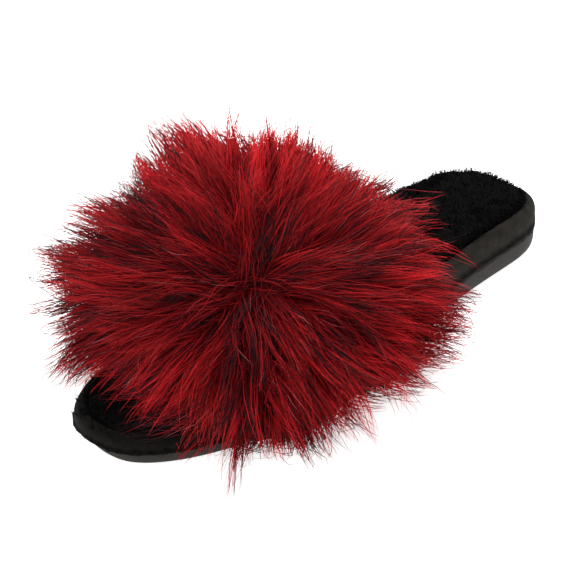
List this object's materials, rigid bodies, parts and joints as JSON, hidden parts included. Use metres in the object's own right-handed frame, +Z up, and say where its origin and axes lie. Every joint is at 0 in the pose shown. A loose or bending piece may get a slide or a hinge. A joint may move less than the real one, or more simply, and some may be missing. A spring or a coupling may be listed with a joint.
{
  "type": "open-toe house slipper",
  "caption": "Flat house slide for the right foot: moulded wedge sole, plush insole and one wide vamp band covered in deep fur, open at toe and heel.",
  "frame": {"origin": "on the floor, under the middle of the sole, at the middle of its length", "axes": "+Z up, -Y towards the toe and +Y towards the heel, +X towards the inner side of the foot"},
  "size_m": [0.1683, 0.2622, 0.0998],
  "materials": {
    "sole": "matt moulded foam",
    "footbed": "matt suede-like wrap",
    "plush": "short dense pile",
    "backing": "knitted backing",
    "fur": "deep pile with dark tips"
  },
  "bodies": {
    "root": {"outsole": "sole", "footbed": "footbed", "insole": "plush", "upper_band": "backing", "fur": "fur"}
  },
  "joints": []
}
